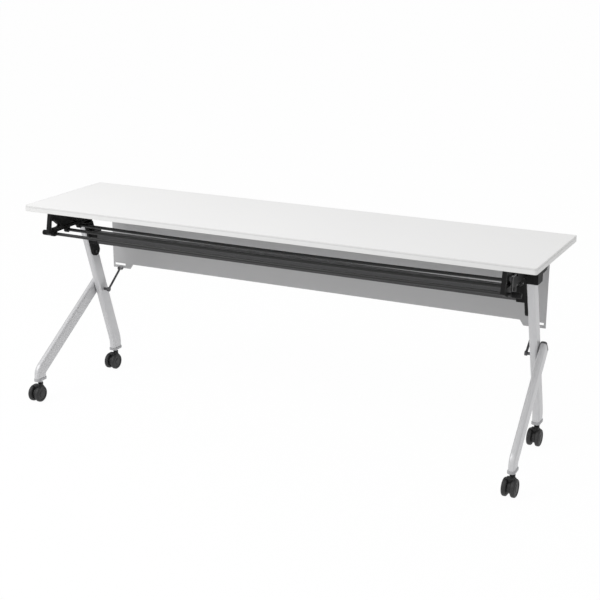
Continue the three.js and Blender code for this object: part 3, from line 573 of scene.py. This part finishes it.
def hanging(name, radius, start, end):
    """A long round bar along X that hangs down a little between its straight ends"""
    sizes = bpy.context.scene.table_sizes
    piece = bar(name, radius, start, end)
    span = Vector(end).x * sizes.rod_free
    edit(piece)
    for step in range(1 - SAG_STEPS, SAG_STEPS):
        cut((span * step / SAG_STEPS, 0, 0), (1, 0, 0))
    pick(piece, "edges", lambda edge: all(abs(vertex.co.x) < NEAR for vertex in edge.verts))
    bpy.ops.transform.translate(
        value=(0, 0, -sizes.rod_sag), use_proportional_edit=True,
        proportional_edit_falloff="INVERSE_SQUARE", proportional_size=span)
    done()
    return piece


def screw(name, place, out, body):
    """A screw's button head with a hexagonal socket"""
    radius = bpy.context.scene.table_sizes.screw
    place, out = Vector(place), Vector(out)
    tip = place + out * radius * 0.55
    head = bar(name, radius, place, tip)
    round_edges(head, lambda edge: all(
        abs((vertex.co - tip).dot(out)) < NEAR for vertex in edge.verts), radius * 0.3, segments=4)
    socket = bar("socket", radius * 0.5, place + out * radius * 0.2, place + out * radius, 6)
    combine(head, socket, "DIFFERENCE")
    wear(head, "steel", body, finish="dark_steel")


def refined(node, name, radius, segments=2, angle=35):
    """A piece that takes a solid's shape and rounds its edges"""
    alone(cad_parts[node])
    bpy.ops.object.duplicate()
    piece = bpy.context.object
    piece.name = name
    for key in list(piece.keys()):
        del piece[key]
    piece.parent = None
    edit(piece)
    everything()
    bpy.ops.mesh.remove_doubles(threshold=NEAR)
    bpy.ops.mesh.dissolve_limited(angle_limit=math.radians(1.0))
    done()
    soften(piece, radius, segments, angle)
    return piece


def wear(piece, slot, body, *nodes, finish=None, angle=35):
    """Gives a finished piece its finish, its body and the solids that it stands for"""
    alone(piece)
    bpy.ops.object.shade_smooth_by_angle(angle=math.radians(angle))
    flow = piece.modifiers.new("Flat faces", "WEIGHTED_NORMAL")
    flow.keep_sharp = True
    bpy.ops.object.modifier_apply(modifier=flow.name)
    piece.data.materials.clear()
    piece.data.materials.append(finishes()[finish or slot])
    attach(piece, body)
    if nodes:
        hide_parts(*nodes)
    return piece


class TableOperator(bpy.types.Operator):
    """Shared settings of the table's operators"""

    bl_options = {"REGISTER", "UNDO"}

    def execute(self, context):
        self.make(context.scene.table_sizes)
        return {"FINISHED"}


class TABLE_OT_top(TableOperator):
    """Model the laminate board and the band round its edge"""

    bl_idname = "table.top"
    bl_label = "Top"

    def make(self, sizes):
        board = slab("board", *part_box("table_top"))
        round_edges(board, upright, sizes.top_corner - sizes.band_wall, segments=6)
        soften(board, sizes.board_arris, angle=60)
        wear(board, "white_laminate", "top", "table_top")
        low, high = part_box("edge_band")
        band = slab("band", low, high)
        round_edges(band, upright, sizes.top_corner, segments=8)
        round_edges(band, lambda edge: not upright(edge), sizes.band_arris, segments=3)
        self.groove(band, high.z - sizes.groove_top, sizes)
        wall = Vector((sizes.band_wall, sizes.band_wall, -MM))
        hole = slab("band_inside", low + wall, high - wall)
        round_edges(hole, upright, sizes.top_corner - sizes.band_wall, segments=6)
        combine(band, hole, "DIFFERENCE")
        wear(band, "edge_plastic", "top", "edge_band")

    @staticmethod
    def groove(band, top, sizes):
        """Sinks a shallow groove into the band's outer face"""
        edit(band)
        for height in (top - sizes.groove_width, top):
            cut((0, 0, height), (0, 0, 1))
        centre = top - sizes.groove_width / 2
        pick(band, "faces", lambda face: abs(face.calc_center_median().z - centre) < 10 * NEAR
             and abs(face.normal.z) < 0.1)
        bpy.ops.mesh.extrude_region_shrink_fatten(TRANSFORM_OT_shrink_fatten={"value": -sizes.band_groove})
        done()


class TABLE_OT_tubes(TableOperator):
    """Model the bent leg tubes, the welds between them and the caps of the short ones"""

    bl_idname = "table.tubes"
    bl_label = "Leg tubes"

    def make(self, sizes):
        for side, sign in SIDES:
            low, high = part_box(f"main_tube_{side}")
            width = high.x - low.x
            points = [vertex.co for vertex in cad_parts[f"main_tube_{side}"].data.vertices]
            foot_ys = [point.y for point in points if point.z < low.z + NEAR]
            top_ys = [point.y for point in points if point.z > high.z - NEAR]
            depth = max(foot_ys) - min(foot_ys)
            rear = middle_of(f"caster_stem_rear_{side}")
            corner = Vector((rear.x, rear.y, low.z + sizes.rear_rise))
            top = Vector((rear.x, (min(top_ys) + max(top_ys)) / 2, high.z))
            beyond = (top - corner).normalized() * depth
            main = self.tube(
                f"leg_main_{side}", top + beyond, corner, low.z, sizes.main_bend, (width, depth))
            edit(main)
            cut(top, (0, 0, 1), clear_outer=True, use_fill=True)
            done()
            wear(main, "silver_paint", "frame", f"main_tube_{side}", angle=40)
            foot = middle_of(f"caster_stem_front_{side}")
            collar_low, collar_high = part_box(f"caster_socket_front_{side}")
            narrow = collar_high.x - collar_low.x - 2 * sizes.collar_rim
            corner = Vector((foot.x, foot.y, low.z + sizes.front_rise))
            crossing = middle_of(f"leg_joint_{side}")
            crossing.x = rear.x + sign * ((width + narrow) / 2 + sizes.joint_gap)
            out = (crossing - corner).normalized()
            end = crossing + out * sizes.overshoot
            front = self.tube(
                f"leg_front_{side}", end, corner, low.z, sizes.front_bend, (narrow, depth))
            wear(front, "silver_paint", "frame", f"front_tube_{side}", angle=40)
            seat = end + out * sizes.seat_gap
            cap = prism(
                f"cap_{side}", seat, seat + out * sizes.cap_lid, narrow, depth, sizes.tube_corner)
            soften(cap, sizes.cap_edge, segments=3)
            wear(cap, "grey_plastic", "frame", f"front_tube_cap_{side}", finish="cap_plastic")
            self.weld(sizes, side)

    @staticmethod
    def tube(name, start, corner, foot, radius, section):
        """A rounded section, drawn along the lean, spun round the bend and drawn down to the foot"""
        along = (corner - start).normalized()
        down = Vector((0, 0, -1))
        turn = along.angle(down)
        reach = radius * math.tan(turn / 2)
        axis = along.cross(down).normalized()
        bend_start = corner - along * reach
        piece = outline(name, start, along, *section, bpy.context.scene.table_sizes.tube_corner)
        draw(bend_start - start)
        bpy.ops.mesh.spin(
            steps=BEND_STEPS, angle=-turn, center=bend_start + axis.cross(along) * radius, axis=axis)
        draw(Vector((corner.x, corner.y, foot)) - (corner + down * reach))
        close()
        return piece

    @staticmethod
    def weld(sizes, side):
        """The pad between the tubes, and a rippled bead round it"""
        pad = lengthwise(f"crossing_{side}", f"leg_joint_{side}", sizes.pad_edge)
        wear(pad, "silver_paint", "frame", f"leg_joint_{side}")
        low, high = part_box(f"leg_joint_{side}")
        cleared()
        bpy.ops.mesh.primitive_torus_add(
            location=(low + high) / 2, rotation=(0, math.pi / 2, 0), major_segments=48, minor_segments=10,
            major_radius=(high.z - low.z) / 2, minor_radius=sizes.weld_bead)
        bead = bpy.context.object
        bead.name = f"weld_{side}"
        settle(bead)
        ripple = bpy.data.textures.get("ripple") or bpy.data.textures.new("ripple", "CLOUDS")
        ripple.noise_scale = 4 * MM
        wave = bead.modifiers.new("Ripple", "DISPLACE")
        wave.texture = ripple
        wave.strength = 0.4 * MM
        alone(bead)
        bpy.ops.object.modifier_apply(modifier=wave.name)
        wear(bead, "silver_paint", "frame", angle=60)


class TABLE_OT_casters(TableOperator):
    """Model one caster and copy it to each foot, with a collar"""

    bl_idname = "table.casters"
    bl_label = "Casters"

    def make(self, sizes):
        first = CORNERS[0]
        origin = middle_of(f"caster_axle_{first}")
        models = {
            "caster_hood": (self.hood(sizes, first), "wheel_plastic"),
            "caster_stem": (self.stem(sizes, first), "steel"),
            "caster_axle": (lengthwise("axle_model", f"caster_axle_{first}", sizes.steel_edge), "steel"),
        }
        wheels = {end: self.wheel(sizes, first, end, sign) for end, sign in SIDES}
        for corner in CORNERS:
            shift = middle_of(f"caster_axle_{corner}") - origin
            for kind, (model, slot) in models.items():
                twin = copy_of(model, f"{kind}_piece_{corner}", shift)
                wear(twin, slot, f"caster_{corner}", f"{kind}_{corner}")
            wear(self.collar(sizes, corner), "grey_plastic", "frame", f"caster_socket_{corner}")
            for end, wheel in wheels.items():
                node = f"wheel_{corner}_{end}"
                twin = copy_of(wheel, f"roller_{corner}_{end}", shift)
                wear(twin, "wheel_plastic", node, node)
        for model in (*wheels.values(), *[model for model, _ in models.values()]):
            bpy.data.objects.remove(model)

    @staticmethod
    def collar(sizes, corner):
        """The grey collar under a tube's foot"""
        low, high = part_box(f"caster_socket_{corner}")
        middle = (low + high) / 2
        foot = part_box(f"front_tube_{corner.split('_')[1]}")[0].z - sizes.seat_gap
        collar = prism(
            f"collar_{corner}", Vector((*middle.xy, low.z)), Vector((*middle.xy, foot)),
            high.x - low.x, high.y - low.y, sizes.tube_corner + sizes.collar_rim)
        soften(collar, sizes.collar_edge, segments=3, angle=40)
        return collar

    @staticmethod
    def hood(sizes, corner):
        """A shell over both wheels, a web between them and a boss for the stem"""
        low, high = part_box(f"caster_hood_{corner}")
        axle = middle_of(f"caster_axle_{corner}")
        stem = middle_of(f"caster_stem_{corner}")
        wheel_low, wheel_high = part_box(f"wheel_{corner}_right")
        space = (wheel_high.z - wheel_low.z) / 2 + sizes.wheel_gap
        half = sizes.hood_web / 2

        def across(name, radius, x0, x1):
            return bar(name, radius, (x0, *axle.yz), (x1, *axle.yz), sides=64)

        hood = across("hood_model", space + sizes.hood_shell, low.x, high.x)
        round_edges(hood, level_in_x, sizes.hood_rim, segments=4)
        edit(hood)
        for angle, keep in ((sizes.hood_back, 1), (sizes.hood_front, -1)):
            normal = Vector((0, -math.sin(angle), math.cos(angle))) * keep
            cut(axle, normal, clear_inner=True, use_fill=True)
        done()
        combine(hood, across("hood_web", sizes.hood_disc, axle.x - half, axle.x + half), "UNION")
        boss = bar(
            "hood_boss", sizes.hood_boss, (*stem.xy, axle.z + sizes.hood_disc), (*stem.xy, high.z))
        combine(hood, boss, "UNION")
        for sign in (-1, 1):
            inner, outer = axle.x + sign * half, axle.x + sign * (high.x - low.x)
            combine(hood, across("wheel_room", space, inner, outer), "DIFFERENCE")
        soften(hood, sizes.hood_edge)
        return hood

    @staticmethod
    def stem(sizes, corner):
        """The swivel stem, with a washer under the collar"""
        low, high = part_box(f"caster_stem_{corner}")
        middle = (low + high) / 2
        stem = bar("stem_model", (high.x - low.x) / 2, (*middle.xy, low.z), (*middle.xy, high.z))
        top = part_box(f"caster_socket_{corner}")[0].z - sizes.washer_drop
        edit(stem)
        for height in (top - sizes.washer, top):
            pick(stem, "faces", lambda face: abs(face.normal.z) < 0.5)
            bpy.ops.mesh.bisect(plane_co=(0, 0, height), plane_no=(0, 0, 1))
        ring = top - sizes.washer / 2
        pick(stem, "faces", lambda face: abs(face.normal.z) < 0.5
             and abs(face.calc_center_median().z - ring) < sizes.washer / 4)
        bpy.ops.mesh.extrude_region_shrink_fatten(
            TRANSFORM_OT_shrink_fatten={"value": sizes.washer_reach})
        done()
        soften(stem, sizes.stem_edge, angle=40)
        return stem

    @staticmethod
    def wheel(sizes, corner, end, sign):
        """A tyre with round shoulders, a dished outer face and a raised hub"""
        low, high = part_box(f"wheel_{corner}_{end}")
        middle = (low + high) / 2
        radius = (high.z - low.z) / 2
        inner, outer = along_side(low, high, sign)
        wheel = bar(
            f"wheel_model_{end}", radius, (inner, *middle.yz), (outer, *middle.yz), sides=64)
        edit(wheel)
        for place, insets in ((outer, WHEEL_OUTER_FACE), (inner, WHEEL_INNER_FACE)):
            pick(wheel, "faces", flat(0, place))
            for thickness, depth in insets:
                bpy.ops.mesh.inset(thickness=thickness * MM, depth=depth * MM)
        done()
        round_edges(wheel, lambda edge: level_in_x(edge) and all(
            (vertex.co - middle).yz.length > radius - NEAR for vertex in edge.verts),
            sizes.wheel_round, segments=7)
        return wheel


class TABLE_OT_arms(TableOperator):
    """Model the black arms under the top and the heads that they turn on"""

    bl_idname = "table.arms"
    bl_label = "Arms and heads"

    def make(self, sizes):
        for side, sign in SIDES:
            arm = refined(f"arm_{side}", f"casting_arm_{side}", sizes.casting_edge)
            wear(arm, "black_plastic", "top", f"arm_{side}")
            head = refined(
                f"leg_head_{side}", f"casting_head_{side}", sizes.casting_edge, segments=3)
            wear(head, "black_plastic", "frame", f"leg_head_{side}")
            pin = lengthwise(f"hinge_pivot_{side}", f"pivot_pin_{side}", sizes.pivot_edge)
            wear(pin, "steel", "frame", f"pivot_pin_{side}", finish="dark_steel")
            low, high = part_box(f"leg_head_{side}")
            pivot = middle_of(f"pivot_pin_{side}")
            pivot.x = along_side(low, high, sign)[1]
            lid = Vector((sign * sizes.cover_lid, 0, 0))
            cover = bar(f"pivot_cover_{side}", sizes.cover, pivot, pivot + lid, sides=48)
            soften(cover, sizes.cover_edge, segments=3)
            wear(cover, "black_plastic", "frame")


class TABLE_OT_rods(TableOperator):
    """Model the shelf's rods, the release bar with its grips, and the lock rods"""

    bl_idname = "table.rods"
    bl_label = "Rods and release bar"

    def make(self, sizes):
        for node in ("shelf_rod_middle", "shelf_rod_rear"):
            low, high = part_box(node)
            radius = (high.y - low.y) / 2
            place = Vector((0, low.y + radius, high.z - radius))
            rod = hanging(f"wire_{node}", radius, (low.x, *place.yz), (high.x, *place.yz))
            soften(rod, sizes.rod_edge)
            wear(rod, "black_paint", "top", node)
        self.release(sizes)
        for side, sign in SIDES:
            self.grip(sizes, side, sign)
            lock = refined(f"lock_rod_{side}", f"lock_{side}_rod", sizes.steel_edge, angle=50)
            wear(lock, "steel", f"lock_{side}", f"lock_rod_{side}", finish="dark_steel")

    @staticmethod
    def release(sizes):
        """The long bar, with a crank and a pin near each end"""
        low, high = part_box("release_bar")
        rod_low, rod_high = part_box("shelf_rod_rear")
        place = middle_of("release_grip_left")
        rod = hanging(
            "release_rod", (rod_high.y - rod_low.y) / 2, (low.x, *place.yz), (high.x, *place.yz))
        half = sizes.crank_width / 2
        for side, sign in SIDES:
            lock_low, lock_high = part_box(f"lock_rod_{side}")
            lock_z = (lock_low.z + lock_high.z) / 2
            near = (lock_high.x if sign > 0 else -lock_low.x) + sizes.seat_gap
            xs = sorted((sign * near, sign * (near + sizes.crank)))
            crank = slab(
                "crank", (xs[0], place.y - half, place.z), (xs[1], place.y + half, lock_z + half))
            round_edges(crank, lambda edge: not level_in_x(edge) and all(
                vertex.co.z > lock_z for vertex in edge.verts), half * 0.98, segments=6)
            combine(rod, crank, "UNION")
            boss = bar("crank_boss", half * 1.9, (xs[0], *place.yz), (xs[1], *place.yz))
            combine(rod, boss, "UNION")
            lock_x = (lock_low.x + lock_high.x) / 2
            pin = bar("crank_pin", sizes.crank_pin, (lock_x, place.y, lock_z),
                      (sign * (near + MM), place.y, lock_z))
            combine(rod, pin, "UNION")
        soften(rod, sizes.steel_edge, angle=50)
        wear(rod, "black_paint", "release", "release_bar")

    @staticmethod
    def grip(sizes, side, sign):
        """A rounded grip with fine grooves round it"""
        low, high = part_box(f"release_grip_{side}")
        middle = (low + high) / 2
        inner, outer = along_side(low, high, sign)
        radius = (high.z - low.z) / 2
        grip = bar(f"handle_{side}", radius, (inner, *middle.yz), (outer, *middle.yz), sides=40)
        first = inner + (outer - inner) * GRIP_PLAIN_END
        pitch = (outer - inner) * GRIP_PITCH
        edit(grip)
        for step in range(2 * GRIP_GROOVES + 1):
            cut((first + pitch * step, 0, 0), (1, 0, 0))

        def groove(face):
            place = (face.calc_center_median().x - first) / pitch
            return abs(face.normal.x) < 0.5 and 0 < place < 2 * GRIP_GROOVES and int(place) % 2 == 0

        pick(grip, "faces", groove)
        bpy.ops.mesh.extrude_region_shrink_fatten(
            TRANSFORM_OT_shrink_fatten={"value": -sizes.grip_groove})
        done()
        round_edges(grip, lambda edge: all(
            abs(vertex.co.x - outer) < NEAR and (vertex.co - middle).yz.length > radius - 10 * NEAR
            for vertex in edge.verts), sizes.grip_end, segments=5)
        wear(grip, "black_plastic", "release", f"release_grip_{side}")


class TABLE_OT_beam(TableOperator):
    """Model the beam between the legs and its brackets"""

    bl_idname = "table.beam"
    bl_label = "Beam"

    def make(self, sizes):
        beam = slab("beam", *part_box("crossbeam"))
        soften(beam, sizes.beam_edge, segments=4)
        wear(beam, "beam_paint", "frame", "crossbeam")
        for side, sign in SIDES:
            node = f"beam_bracket_{side}"
            bracket = refined(node, f"bracket_{side}", sizes.casting_edge, segments=3)
            wear(bracket, "black_plastic", "frame", node)
            low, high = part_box(node)
            face = along_side(low, high, sign)[1] - sign * sizes.flange_depth
            middle = (low + high) / 2
            lean = BRACKET_LEAN * (low.y - high.y) / (high.z - low.z)
            for share in BRACKET_SCREWS:
                height = low.z + (high.z - low.z) * share
                place = (face, middle.y + lean * (height - middle.z), height)
                screw(f"bracket_screw_{side}_{share}", place, (-sign, 0, 0), "frame")


class TABLE_OT_panel(TableOperator):
    """Model the modesty panel, its hinges and its stays"""

    bl_idname = "table.panel"
    bl_label = "Modesty panel"

    def make(self, sizes):
        panel = refined("modesty_panel", "panel_sheet", sizes.sheet_edge, angle=50)
        wear(panel, "panel_paint", "panel", "modesty_panel")
        for side, sign in SIDES:
            leaf = refined(f"hinge_leaf_{side}", f"leaf_{side}", sizes.leaf_edge, angle=50)
            wear(leaf, "steel", "top", f"hinge_leaf_{side}")
            pin = lengthwise(f"leaf_pin_{side}", f"hinge_pin_{side}", sizes.pin_edge)
            wear(pin, "steel", "top", f"hinge_pin_{side}")
            peg = lengthwise(f"peg_{side}", f"stay_peg_{side}", sizes.pin_edge)
            wear(peg, "steel", "frame", f"stay_peg_{side}", finish="dark_steel")
            self.stay(sizes, side, sign)

    @staticmethod
    def stay(sizes, side, sign):
        """A thin rod from a cross pin at its upper end to an eye at its lower end"""
        low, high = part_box(f"stay_rod_{side}")
        near = along_side(low, high, sign)[0]
        peg = min(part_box(f"stay_peg_{side}"), key=lambda corner: abs(corner.x)).x
        thick = sizes.stay_radius
        upper = Vector((near + sign * sizes.stay_pin / 2, high.y - thick, high.z - thick))
        lower = Vector((
            peg - sign * (sizes.seat_gap + thick), low.y + sizes.stay_eye, low.z + sizes.stay_eye))
        rod = bar(f"stay_bar_{side}", thick, upper, lower)
        for name, radius, middle, half in (
                ("pin", thick * 0.99, upper, sizes.stay_pin / 2), ("eye", sizes.stay_eye, lower, thick)):
            reach = Vector((half, 0, 0))
            combine(rod, bar(f"stay_{name}", radius, middle - reach, middle + reach), "UNION")
        soften(rod, sizes.steel_edge, angle=50)
        wear(rod, "steel", f"stay_{side}", f"stay_rod_{side}", finish="dark_steel")


class TABLE_OT_stage(TableOperator):
    """Set the camera, the floor and the light"""

    bl_idname = "table.stage"
    bl_label = "Camera, floor and light"

    def execute(self, context):
        stage = context.scene.table_stage
        context.scene.view_settings.view_transform = "Standard"
        self.camera(stage)
        self.floor(stage)
        self.light(stage)
        return {"FINISHED"}

    @staticmethod
    def camera(stage):
        ahead = Vector((-math.sin(stage.heading) * math.cos(stage.dip),
                        math.cos(stage.heading) * math.cos(stage.dip), -math.sin(stage.dip)))
        right = Vector((math.cos(stage.heading), math.sin(stage.heading), 0))
        up = right.cross(ahead)
        side = right * math.cos(stage.roll) + up * math.sin(stage.roll)
        top = up * math.cos(stage.roll) - right * math.sin(stage.roll)
        bpy.ops.object.camera_add()
        camera = bpy.context.object
        turn = Matrix((side, top, -ahead)).transposed().to_4x4()
        camera.matrix_world = Matrix.Translation(stage.camera_place) @ turn
        camera.data.sensor_width = SENSOR
        camera.data.lens = SENSOR * stage.focal_pixels / FRAME_PIXELS
        bpy.context.scene.camera = camera

    @staticmethod
    def floor(stage):
        cleared()
        bpy.ops.mesh.primitive_plane_add(size=FLOOR_SIZE, location=(0, 0, 0))
        floor = bpy.context.object
        floor.name = "floor"
        recipe = Recipe("floor")
        path = recipe.tree.nodes.new("ShaderNodeLightPath")
        straight, glossy, through = (Wire(recipe, path.outputs[ray]) for ray in (
            "Is Camera Ray", "Is Glossy Ray", "Is Transmission Ray"))
        share = (straight + glossy + through) * FLOOR_WHITE
        plain = recipe.node("ShaderNodeBsdfDiffuse", {}, {"Color": (*stage.floor, 1)})
        white = recipe.node("ShaderNodeEmission", {}, {"Color": (1, 1, 1, 1), "Strength": 1.0})
        recipe.end(recipe.node("ShaderNodeMixShader", {}, {0: share, 1: plain, 2: white}))
        floor.data.materials.append(recipe.material)

    @staticmethod
    def light(stage):
        world = bpy.data.worlds.new("studio")
        bpy.context.scene.world = world
        world.use_nodes = True
        tree = world.node_tree
        tree.nodes.clear()
        path = tree.nodes.new("ShaderNodeLightPath")
        even = tree.nodes.new("ShaderNodeBackground")
        even.inputs["Strength"].default_value = stage.sky
        white = tree.nodes.new("ShaderNodeBackground")
        for shade in (even, white):
            shade.inputs["Color"].default_value = (1, 1, 1, 1)
        mix = tree.nodes.new("ShaderNodeMixShader")
        end = tree.nodes.new("ShaderNodeOutputWorld")
        tree.links.new(path.outputs["Is Camera Ray"], mix.inputs[0])
        tree.links.new(even.outputs[0], mix.inputs[1])
        tree.links.new(white.outputs[0], mix.inputs[2])
        tree.links.new(mix.outputs[0], end.inputs["Surface"])
        for name, place, size, share in LAMPS:
            bpy.ops.object.light_add(type="AREA", location=place)
            lamp = bpy.context.object
            lamp.name = name
            lamp.data.size = size
            lamp.data.energy = stage.key * share
            aim = Vector(LAMP_AIM) - Vector(place)
            lamp.rotation_euler = aim.to_track_quat("-Z", "Y").to_euler()


class TABLE_PT_sidebar(bpy.types.Panel):
    """Lists the table's pieces and settings"""

    bl_label = "Training Table"
    bl_idname = "TABLE_PT_sidebar"
    bl_space_type = "VIEW_3D"
    bl_region_type = "UI"
    bl_category = "Table"

    def draw(self, context):
        for operator in OPERATORS:
            self.layout.operator(operator.bl_idname)
        for group in GROUPS:
            settings = getattr(context.scene, group)
            box = self.layout.box()
            for key in settings.__annotations__:
                box.prop(settings, key)


GROUPS = {"table_sizes": TableSizes, "table_finishes": TableFinishes, "table_stage": TableStage}
OPERATORS = (
    TABLE_OT_top, TABLE_OT_tubes, TABLE_OT_casters, TABLE_OT_arms, TABLE_OT_rods,
    TABLE_OT_beam, TABLE_OT_panel, TABLE_OT_stage,
)


def register():
    for kind in (*GROUPS.values(), *OPERATORS, TABLE_PT_sidebar):
        bpy.utils.register_class(kind)
    for name, kind in GROUPS.items():
        setattr(bpy.types.Scene, name, PointerProperty(type=kind))


def unregister():
    for name in GROUPS:
        delattr(bpy.types.Scene, name)
    for kind in reversed((*GROUPS.values(), *OPERATORS, TABLE_PT_sidebar)):
        bpy.utils.unregister_class(kind)


def main():
    register()
    for operator in OPERATORS:
        group, name = operator.bl_idname.split(".")
        getattr(getattr(bpy.ops, group), name)()
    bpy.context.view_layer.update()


if __name__ == "__main__":
    main()
